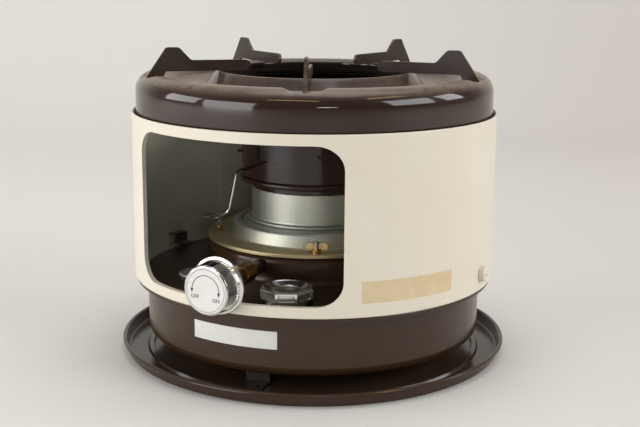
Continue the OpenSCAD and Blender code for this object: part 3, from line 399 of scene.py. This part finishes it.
mica, tree, shader = new_material("split_mica", IOR=1.58, Transmission_Weight=0.4,
                                  Specular_IOR_Level=0.35)
spot = add(tree, "ShaderNodeTexCoord").outputs["Object"]
flakes = add(tree, "ShaderNodeTexNoise", {"Scale": 1 / (6 * mm), "Detail": 5.0, "Distortion": 1.2},
             {"Vector": spot})
tone = add(tree, "ShaderNodeMix", {"data_type": "RGBA", 6: linear("#1B1310"), 7: linear("#30221B")},
           {0: flakes.outputs["Fac"]})
tree.links.new(tone.outputs[2], shader.inputs["Base Color"])
shine = add(tree, "ShaderNodeMapRange", {"To Min": 0.25, "To Max": 0.45},
            {"Value": flakes.outputs["Fac"]})
tree.links.new(shine.outputs[0], shader.inputs["Roughness"])
dress(mica, "mica_window")
dress(worn_metal("heat_scaled_steel", "#5A4E46", "#2C2622", 0.55, patch_mm=9, bump=0.3),
      "outer_flame_tube", "inner_flame_tube", "flame_spreader", "cross_pins")

# ---- Wire handle: spring steel wire, dark brown and duller above 155 to 166 mm ----
# A 2 mm wire that springs round the burner's shell and ends in a loop for a finger.
wire_steel, tree, shader = new_material("handle_wire_steel", Metallic=1.0)
spot = add(tree, "ShaderNodeTexCoord").outputs["Object"]
parts = add(tree, "ShaderNodeSeparateXYZ", links={0: spot})
# the wire turns dark brown and duller from 155 to 166 mm up
upper_darkening = add(tree, "ShaderNodeMapRange", {"From Min": 155 * mm, "From Max": 166 * mm},
            {"Value": parts.outputs["Z"]})
marks = add(tree, "ShaderNodeTexNoise", {"Scale": 1 / (3 * mm), "Detail": 4.0}, {"Vector": spot})
bright = add(tree, "ShaderNodeMix",
             {"data_type": "RGBA", 6: linear("#B0ACA6"), 7: linear("#E6E4E0")},
             {0: marks.outputs["Fac"]})
tone = add(tree, "ShaderNodeMix", {"data_type": "RGBA", 7: linear("#2E2622")},
           {0: upper_darkening.outputs[0], 6: bright.outputs[2]})
tree.links.new(tone.outputs[2], shader.inputs["Base Color"])
shine = add(tree, "ShaderNodeMapRange", {"To Min": 0.18, "To Max": 0.5},
            {"Value": upper_darkening.outputs[0]})
tree.links.new(shine.outputs[0], shader.inputs["Roughness"])
dress(wire_steel, "wire_handle")

# ---- Top plate: one deep pressing with a ridge, a valley and a collar ----
# The same enamel over soft press bends. A smooth surface stands for the CAD's crisp one,
# and five channels dip its ridge softly under the pot supports. Sizes are in millimetres.
skirt_r, skirt_z, hole_r, sheet = 161.25, 214.3, 86.0, 1.2
ridge_z, channel_z, valley_z, rim_z = 254.0, 251.2, 244.0, 256.0
shoulder_r, ridge_w, ridge_bend_r, valley_bend_r, rim_bend_r = 15, 4, 5, 4, 1.6
ridge_slope, collar_slope = 45, 50
channel_half_w, channel_side_w = 10.5, 8.5
support_azimuths = [24.4 + 72 * k for k in range(5)]


def bend(centre, radius, start, end, steps):
    """Points of (radius, height) along one bend of the pressing."""
    angles = [math.radians(start + (end - start) * k / steps) for k in range(steps + 1)]
    return [(centre[0] + radius * math.cos(a), centre[1] + radius * math.sin(a)) for a in angles]


def slope_run(rise, bends, angle):
    """Horizontal run of a slope that starts and ends in a bend."""
    a = math.radians(angle)
    return bends * math.sin(a) + (rise - bends * (1 - math.cos(a))) / math.tan(a)


def ease(low, high, value):
    """A soft step from 0 to 1."""
    t = min(max((value - low) / (high - low), 0.0), 1.0)
    return t * t * (3 - 2 * t)


ridge_in_r = skirt_r - shoulder_r - ridge_w
ridge_run = slope_run(ridge_z - valley_z, ridge_bend_r + valley_bend_r, ridge_slope)
collar_run = slope_run(rim_z - valley_z, rim_bend_r + valley_bend_r, collar_slope)
valley_out_r = ridge_in_r - ridge_run
valley_in_r = hole_r + rim_bend_r + collar_run
section = [(skirt_r, skirt_z), (skirt_r, 222.0), (skirt_r, 230.0)]
section += bend((skirt_r - shoulder_r, ridge_z - shoulder_r), shoulder_r, 0, 90, 14)
section += bend((ridge_in_r, ridge_z - ridge_bend_r), ridge_bend_r, 90, 90 + ridge_slope, 6)
section += bend((valley_out_r, valley_z + valley_bend_r), valley_bend_r, 270 + ridge_slope, 270, 6)
section += bend((valley_in_r, valley_z + valley_bend_r), valley_bend_r, 270, 270 - collar_slope, 6)
rim = bend((hole_r + rim_bend_r, rim_z - rim_bend_r), rim_bend_r, 90 - collar_slope, 180, 8)
foot = section[-1]
section += [tuple(a + (b - a) * k / 4 for a, b in zip(foot, rim[0])) for k in (1, 2, 3)]
section += rim + [(hole_r, rim_z - rim_bend_r - drop) for drop in (2.4, 5.0, 8.0)]


def pressed_height(r, z, azimuth):
    """Height of a point of the section, lowered where a channel crosses the ridge."""
    if r < valley_out_r - valley_bend_r or z <= channel_z:
        return z
    apart = min(abs((azimuth - a + 180) % 360 - 180) for a in support_azimuths)
    aside = r * math.sin(math.radians(min(apart, 90)))
    beside_channel = ease(channel_half_w, channel_half_w + channel_side_w, aside)
    return channel_z + (z - channel_z) * beside_channel


def skin(name, rings, material, body, smooth=True):
    """A mesh through rings of equally many points, each ring joined to the next."""
    count = len(rings[0])
    quads = []
    for j in range(len(rings) - 1):
        for i in range(count):
            k = (i + 1) % count
            quads.append((j * count + i, j * count + k, (j + 1) * count + k, (j + 1) * count + i))
    points = [point for ring in rings for point in ring]
    return mesh_piece(name, points, quads, material, body, smooth)


plate_enamel = vitreous_enamel("plate_brown_enamel", "#2C1B13", 0.07, 0.74, haze=0.17)
plate_steps = 720
plate_rings = []
for r, z in section:
    ring = []
    for i in range(plate_steps):
        azimuth = 360 * i / plate_steps
        a = math.radians(azimuth)
        ring.append((r * math.sin(a) * mm, -r * math.cos(a) * mm,
                     pressed_height(r, z, azimuth) * mm))
    plate_rings.append(ring)
pressing = skin("top_plate_pressing", plate_rings, plate_enamel, "top")
thickness = pressing.modifiers.new("sheet", "SOLIDIFY")
thickness.thickness = sheet * mm
thickness.offset = -1.0
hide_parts("top_plate")


def overlay(material, mask, colour):
    """Lays a colour over a material's own, where the mask is 1."""
    tree = material.node_tree
    shader = tree.nodes["Principled BSDF"]
    under = shader.inputs["Base Color"].links[0].from_socket
    tone = add(tree, "ShaderNodeMix", {"data_type": "RGBA", 7: linear(colour)}, {0: mask, 6: under})
    tree.links.new(tone.outputs[2], shader.inputs["Base Color"])


# the flame has sooted the throat
tree = plate_enamel.node_tree
spot = add(tree, "ShaderNodeTexCoord").outputs["Object"]
flat_spot = add(tree, "ShaderNodeVectorMath", {"operation": "MULTIPLY", 1: (1, 1, 0)}, {0: spot})
radius = add(tree, "ShaderNodeVectorMath", {"operation": "LENGTH"}, {0: flat_spot.outputs[0]})
soot = add(tree, "ShaderNodeMapRange",
           {"From Min": (hole_r + 0.2) * mm, "From Max": (hole_r + 2.2) * mm,
            "To Min": 0.9, "To Max": 0.0},
           {"Value": radius.outputs["Value"]})
overlay(plate_enamel, soot.outputs[0], "#1E1D1A")

# ---- Pot supports: enamelled steel plates, rubbed by pots along the top ----
# The same brown enamel, chipped to dark steel in patches on the level edges that carry the pot.
support_enamel = vitreous_enamel("support_brown_enamel", "#33241C", 0.28, 0.35, haze=0.12)
tree = support_enamel.node_tree
place = add(tree, "ShaderNodeTexCoord")
parts = add(tree, "ShaderNodeSeparateXYZ", links={0: place.outputs["Normal"]})
edge = add(tree, "ShaderNodeMapRange", {"From Min": 0.4, "From Max": 0.7, "To Max": 0.8},
           {"Value": parts.outputs["Z"]})
chips = add(tree, "ShaderNodeTexNoise", {"Scale": 1 / (4 * mm), "Detail": 5.0},
            {"Vector": place.outputs["Object"]})
chipped = add(tree, "ShaderNodeMapRange", {"From Min": 0.48, "From Max": 0.56},
              {"Value": chips.outputs["Fac"]})
worn = add(tree, "ShaderNodeMath", {"operation": "MULTIPLY"},
           {0: edge.outputs[0], 1: chipped.outputs[0]})
overlay(support_enamel, worn.outputs[0], "#6A6058")
dress(support_enamel, *(f"pot_support_{k}" for k in range(1, 6)))

# ---- Casing: cream baked enamel, inside and out ----
# Sprayed sheet with an even satin, faint yellowing and a few rust freckles outside, and a
# thinner coat on the inner face.
casing_cream, tree, shader = new_material("casing_cream_enamel", IOR=1.5)
place = add(tree, "ShaderNodeTexCoord")
spot = place.outputs["Object"]
drift = add(tree, "ShaderNodeTexNoise", {"Scale": 1 / (70 * mm), "Detail": 3.0}, {"Vector": spot})
cream = add(tree, "ShaderNodeMix",
            {"data_type": "RGBA", 6: linear("#E3DBC6"), 7: linear("#EBE5D4")},
            {0: drift.outputs["Fac"]})
# freckles about 16 mm apart and under a millimetre wide
freckles = add(tree, "ShaderNodeTexVoronoi", {"Scale": 1 / (16 * mm)}, {"Vector": spot})
freckle = add(tree, "ShaderNodeMapRange",
              {"From Min": 0.02, "From Max": 0.045, "To Min": 0.55, "To Max": 0.0},
              {"Value": freckles.outputs["Distance"]})
outside = add(tree, "ShaderNodeMix", {"data_type": "RGBA", 7: linear("#8A6E48")},
              {0: freckle.outputs[0], 6: cream.outputs[2]})
mottle = add(tree, "ShaderNodeTexNoise", {"Scale": 1 / (45 * mm), "Detail": 4.0}, {"Vector": spot})
inside = add(tree, "ShaderNodeMix",
             {"data_type": "RGBA", 6: linear("#DEDAC6"), 7: linear("#E9E4D3")},
             {0: mottle.outputs["Fac"]})
# the lining is what faces inwards, except the flange that the top plate sits in
flange_r = 161.5
flat_spot = add(tree, "ShaderNodeVectorMath", {"operation": "MULTIPLY", 1: (1, 1, 0)}, {0: spot})
radius = add(tree, "ShaderNodeVectorMath", {"operation": "LENGTH"}, {0: flat_spot.outputs[0]})
outward = add(tree, "ShaderNodeVectorMath", {"operation": "NORMALIZE"}, {0: flat_spot.outputs[0]})
turned = add(tree, "ShaderNodeVectorMath", {"operation": "DOT_PRODUCT"},
             {0: outward.outputs[0], 1: place.outputs["Normal"]})
inner_face = add(tree, "ShaderNodeMath", {"operation": "LESS_THAN", 1: -0.5},
                 {0: turned.outputs["Value"]})
past_flange = add(tree, "ShaderNodeMath", {"operation": "GREATER_THAN", 1: flange_r * mm},
                  {0: radius.outputs["Value"]})
lining = add(tree, "ShaderNodeMath", {"operation": "MULTIPLY"},
             {0: inner_face.outputs[0], 1: past_flange.outputs[0]})
tone = add(tree, "ShaderNodeMix", {"data_type": "RGBA"},
           {0: lining.outputs[0], 6: outside.outputs[2], 7: inside.outputs[2]})
tree.links.new(tone.outputs[2], shader.inputs["Base Color"])
satin = add(tree, "ShaderNodeMapRange",
            {"From Min": 0.3, "From Max": 0.7, "To Min": 0.28, "To Max": 0.42},
            {"Value": mottle.outputs["Fac"]})
tree.links.new(satin.outputs[0], shader.inputs["Roughness"])
peel = add(tree, "ShaderNodeTexNoise", {"Scale": 1 / (2.5 * mm), "Detail": 2.0}, {"Vector": spot})
grain = add(tree, "ShaderNodeBump", {"Strength": 0.2, "Distance": 0.03 * mm},
            {"Height": peel.outputs["Fac"]})
tree.links.new(grain.outputs[0], shader.inputs["Normal"])
dress(casing_cream, "casing", "plate_ledge", "hook_pocket", "side_catch")


# ---- Blank plates: a white one on the tank and an old paper one on the casing ----
# The white plate is printed foil with its print left off; the paper one is gummed paper
# gone tan, with paler rubbed patches and a slightly ragged edge.
def bent_plate(name, inner_r, azimuths, heights, thickness, material, ragged=0.0):
    """A thin plate bent round the stove, between two azimuths and two heights, in millimetres."""
    columns, rows = 28, 4
    vertices = []
    for r in (inner_r + thickness, inner_r):
        for j in range(rows + 1):
            for i in range(columns + 1):
                a = math.radians(azimuths[0] + (azimuths[1] - azimuths[0]) * i / columns)
                z = heights[0] + (heights[1] - heights[0]) * j / rows
                if j in (0, rows):
                    z += ragged * noise.noise(Vector((i * 0.9, j * 1.7, 3.0)))
                vertices.append((r * math.sin(a) * mm, -r * math.cos(a) * mm, z * mm))
    stride = columns + 1
    layer = stride * (rows + 1)
    faces = []
    for j in range(rows):
        for i in range(columns):
            k = j * stride + i
            faces.append((k, k + 1, k + 1 + stride, k + stride))
            faces.append((layer + k + stride, layer + k + 1 + stride, layer + k + 1, layer + k))
    edge = list(range(columns)) + [columns + j * stride for j in range(rows)]
    edge += [layer - 1 - k for k in edge]
    for k, a in enumerate(edge):
        b = edge[(k + 1) % len(edge)]
        faces.append((b, a, layer + a, layer + b))
    return mesh_piece(name, vertices, faces, material, "stove", smooth=False)


tank_r, casing_r = 153.6, 165.0
white_foil = mottled("blank_white_foil", "#DAD8D1", "#EBEAE5", 8, 5.0, Roughness=0.35)
plate = bent_plate("tank_plate", tank_r + 0.05, (-13.1, 16.4), (40.7, 56.0), 0.25, white_foil)

tan_paper, tree, shader = new_material("gummed_tan_paper", Roughness=0.7)
spot = add(tree, "ShaderNodeTexCoord").outputs["Object"]
rubbed = add(tree, "ShaderNodeTexNoise", {"Scale": 1 / (11 * mm), "Detail": 5.0}, {"Vector": spot})
rub = add(tree, "ShaderNodeMapRange", {"From Min": 0.30, "From Max": 0.80},
          {"Value": rubbed.outputs["Fac"]})
tone = add(tree, "ShaderNodeMix", {"data_type": "RGBA", 6: linear("#DBC399"), 7: linear("#E1D0AE")},
           {0: rub.outputs[0]})
tree.links.new(tone.outputs[2], shader.inputs["Base Color"])
paper = bent_plate("casing_paper", casing_r + 0.03, (41.1, 71.8), (83.1, 101.4), 0.12, tan_paper,
                   ragged=0.4)


# ---- Knob: die-cast and chrome-plated, with a flange and fine grip flutes ----
# Bright chrome over nickel, with a fine haze and a few dull specks. The plain solid has coarse
# flutes; the real grip has 72 shallow ones, about 1.9 mm apart, up to a rounded front rim.
def chrome_plate(name, polish, haze, dull_top):
    """Chrome whose roughness drifts from polish to haze, with a duller face on top and specks."""
    material, tree, shader = new_material(name, Metallic=1.0)
    place = add(tree, "ShaderNodeTexCoord")
    spot = place.outputs["Object"]
    film = add(tree, "ShaderNodeTexNoise",
               {"Scale": 1 / (4 * mm), "Detail": 5.0, "Roughness": 0.65},
               {"Vector": spot})
    shine = add(tree, "ShaderNodeMapRange",
                {"From Min": 0.35, "From Max": 0.75, "To Min": polish, "To Max": haze},
                {"Value": film.outputs["Fac"]})
    facing = add(tree, "ShaderNodeSeparateXYZ", links={0: place.outputs["Normal"]})
    on_top = add(tree, "ShaderNodeMapRange", {"From Min": 0.5, "From Max": 0.8},
                 {"Value": facing.outputs["Z"]})
    dull = add(tree, "ShaderNodeMix", {"data_type": "FLOAT", 3: dull_top},
               {0: on_top.outputs[0], 2: shine.outputs[0]})
    tree.links.new(dull.outputs[0], shader.inputs["Roughness"])
    specks = add(tree, "ShaderNodeTexVoronoi", {"Scale": 1 / (2.6 * mm)}, {"Vector": spot})
    speck = add(tree, "ShaderNodeMapRange",
                {"From Min": 0.05, "From Max": 0.16, "To Min": 0.6, "To Max": 0.0},
                {"Value": specks.outputs["Distance"]})
    tone = add(tree, "ShaderNodeMix",
               {"data_type": "RGBA", 6: linear("#E3E3E2"), 7: linear("#928F89")},
               {0: speck.outputs[0]})
    tree.links.new(tone.outputs[2], shader.inputs["Base Color"])
    return material


knob_z, knob_back_y = 94.5, -166.5
flutes, flute_d = 72, 0.9
knob_rows = [  # (radius, distance in front of the flange's back, share of the flute's depth)
    (3.55, -18, 0), (5.8, -18, 0), (6.8, 0, 0),  # stem
    (23.2, 0, 0), (24.0, 0.3, 0), (24.2, 0.8, 0), (24.2, 1.6, 0), (23.8, 2.1, 0),  # flange
    (22.0, 2.7, 0), (21.7, 3.4, 0), (21.6, 4.1, 0), (21.55, 5.0, 1), (20.95, 17.4, 1),  # grip
    (20.8, 18.3, 1), (20.3, 19.2, 0), (19.8, 19.65, 0), (19.35, 19.8, 0),  # front rim
    (19.25, 19.15, 0), (0.2, 19.15, 0)]  # recess behind the disc
knob_rings = []
for r, ahead, share in knob_rows:
    ring = []
    for i in range(4 * flutes):
        a = math.radians(i * 90 / flutes)
        cut_r = r - (0, 0.5, 1, 0.5)[i % 4] * flute_d * share
        ring.append((cut_r * math.cos(a) * mm, (knob_back_y - ahead) * mm,
                     (knob_z + cut_r * math.sin(a)) * mm))
    knob_rings.append(ring)
knob = skin("fluted_knob", knob_rings, chrome_plate("knob_chrome", 0.10, 0.22, 0.16), "wick_drive",
            smooth=False)
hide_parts("wick_knob")

# ---- Filler cap: pressed and chrome-plated, eight-sided, with a dished top ----
# Each side has a shallow pressed panel that leaves a pad at every corner, and the rim is
# rolled over into the dish. It sits where the plain solid does.
cap_low, cap_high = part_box("filler_cap")
cap_middle = (cap_low + cap_high) / 2
cap_half_w, cap_azimuth, panel_half_w, panel_edge, panel_d = 21.8, 27.0, 6.3, 0.3, 0.7
# (height, inset of the sides or None for a circle, circle's radius, share of the panel's depth)
cap_rows = [
    (0, None, 17.0, 0), (0, 0.8, 0, 0), (0.5, 0, 0, 0), (1.5, 0, 0, 0),  # foot
    (1.9, 0, 0, 1), (6.3, 0, 0, 1), (6.8, 0, 0, 0),  # panel
    (8.0, 0.05, 0, 0), (8.8, 0.4, 0, 0), (9.25, 1.0, 0, 0), (9.4, 1.8, 0, 0),  # rolled rim
    (9.35, None, 18.9, 0), (8.9, None, 18.2, 0), (6.0, None, 14.6, 0), (5.4, None, 13.4, 0),  # dish
    (5.3, None, 12.0, 0), (5.3, None, 0.2, 0)]
cap_steps = 240
cap_rings = []
for rise, inset, circle_r, share in cap_rows:
    ring = []
    for i in range(cap_steps):
        azimuth = 360 * i / cap_steps
        off = (azimuth - cap_azimuth + 22.5) % 45 - 22.5  # from the middle of the nearest side
        aside = abs(cap_half_w * math.tan(math.radians(off)))
        beside_panel = ease(panel_half_w - panel_edge, panel_half_w + panel_edge, aside)
        if inset is None:
            r = circle_r
        else:
            side = cap_half_w - inset - panel_d * share * (1 - beside_panel)
            r = side / math.cos(math.radians(off))
        a = math.radians(azimuth)
        ring.append((cap_middle.x + r * math.sin(a) * mm, cap_middle.y - r * math.cos(a) * mm,
                     cap_low.z + rise * mm))
    cap_rings.append(ring)
cap = skin("dished_cap", cap_rings, chrome_plate("cap_chrome", 0.08, 0.16, 0.20), "cap",
           smooth=False)
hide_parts("filler_cap")

# ---- Knob face: white printed disc with a turn arrow ----
# A lacquered white disc set into the knob. The print is a thin ring, an arrow at each
# end of an arc, and OFF and ON below them. It lies 0.06 mm in front of the disc.
dress(mottled("white_lacquer", "#E4E2DC", "#F0EFEB", 10, 3.0, IOR=1.5, Roughness=0.22), "knob_disc")
print_black = mottled("black_print", "#26252A", "#4A4950", 0.9, 3.0, Roughness=0.4)
print_y = -186.56


def flat_print(name, outlines):
    """Print on the knob's face, from outlines of (x, z) in millimetres about its centre."""
    vertices, faces = [], []
    for outline in outlines:
        start = len(vertices)
        vertices += [(x * mm, print_y * mm, (knob_z + z) * mm) for x, z in outline]
        faces.append(tuple(range(start, len(vertices))))
    return mesh_piece(name, vertices, faces, print_black, "wick_drive", smooth=False)


def stripe(radius, half, start, end, pieces):
    """Four-cornered cells of a ring of print, between two angles in degrees."""
    inner, outer = radius - half, radius + half
    cells = []
    for k in range(pieces):
        a, b = (math.radians(start + (end - start) * (k + i) / pieces) for i in (0, 1))
        cells.append([(r * math.cos(t), r * math.sin(t))
                      for r, t in ((inner, a), (outer, a), (outer, b), (inner, b))])
    return cells


border = stripe(17.6, 0.16, 0, 360, 72)
arc = stripe(12.6, 0.32, -2, 178, 48)
arrow_heads = [[(-14.1, 1.0), (-11.3, 1.0), (-12.8, -2.8)],
               [(11.0, -0.5), (13.8, -0.3), (12.2, -4.2)]]
flat_print("knob_print", border + arc + arrow_heads)


def letters(name, words, x, z, size):
    """Flat lettering on the knob's face, centred at (x, z) in millimetres."""
    font = bpy.data.curves.new(name, "FONT")
    font.body = words
    font.size = size * mm
    font.align_x = font.align_y = "CENTER"
    font.resolution_u = 3
    font.offset = 0.07 * mm
    shape = bpy.data.objects.new(name + "_shape", font)
    mesh = bpy.data.meshes.new_from_object(shape)
    bpy.data.objects.remove(shape)
    mesh.transform(Matrix.Translation((x * mm, print_y * mm, (knob_z + z) * mm))
                   @ Matrix.Rotation(math.pi / 2, 4, "X"))
    mesh.materials.clear()
    mesh.materials.append(print_black)
    piece = bpy.data.objects.new(name, mesh)
    bpy.context.scene.collection.objects.link(piece)
    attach(piece, "wick_drive")


letters("knob_off", "OFF", -10.0, -5.6, 4.3)
letters("knob_on", "ON", 9.8, -7.1, 4.3)

# ---- Gauge: pale dial, red needle and cork float under a clear lens ----
# The rim is dull chrome, the dial painted tin, the needle's strip tinned brass painted red,
# the float varnished cork, and the lens scuffed acrylic.
dress(chrome_plate("bezel_chrome", 0.28, 0.40, 0.55), "gauge_bezel")
dress(mottled("dial_paint", "#C4C2BA", "#DAD8D0", 5, 3.0, Roughness=0.5), "gauge_dial")
dress(mottled("needle_red", "#96281C", "#B93F2E", 4, 2.0, Roughness=0.4), "gauge_needle")

cork, tree, shader = new_material("varnished_cork", Roughness=0.6)
spot = add(tree, "ShaderNodeTexCoord").outputs["Object"]
granules = add(tree, "ShaderNodeTexVoronoi", {"Scale": 1 / (2.5 * mm)}, {"Vector": spot})
tone = add(tree, "ShaderNodeMix", {"data_type": "RGBA", 6: linear("#5E4328"), 7: linear("#A5804F")},
           {0: granules.outputs["Distance"]})
tree.links.new(tone.outputs[2], shader.inputs["Base Color"])
dress(cork, "gauge_float")

clear_lens, tree, shader = new_material("clear_lens", Transmission_Weight=0.95, IOR=1.49)
spot = add(tree, "ShaderNodeTexCoord").outputs["Object"]
scuffs = add(tree, "ShaderNodeTexNoise", {"Scale": 1 / (2 * mm), "Detail": 4.0}, {"Vector": spot})
shine = add(tree, "ShaderNodeMapRange",
            {"From Min": 0.4, "From Max": 0.8, "To Min": 0.03, "To Max": 0.25},
            {"Value": scuffs.outputs["Fac"]})
tree.links.new(shine.outputs[0], shader.inputs["Roughness"])
dress(clear_lens, "gauge_lens")
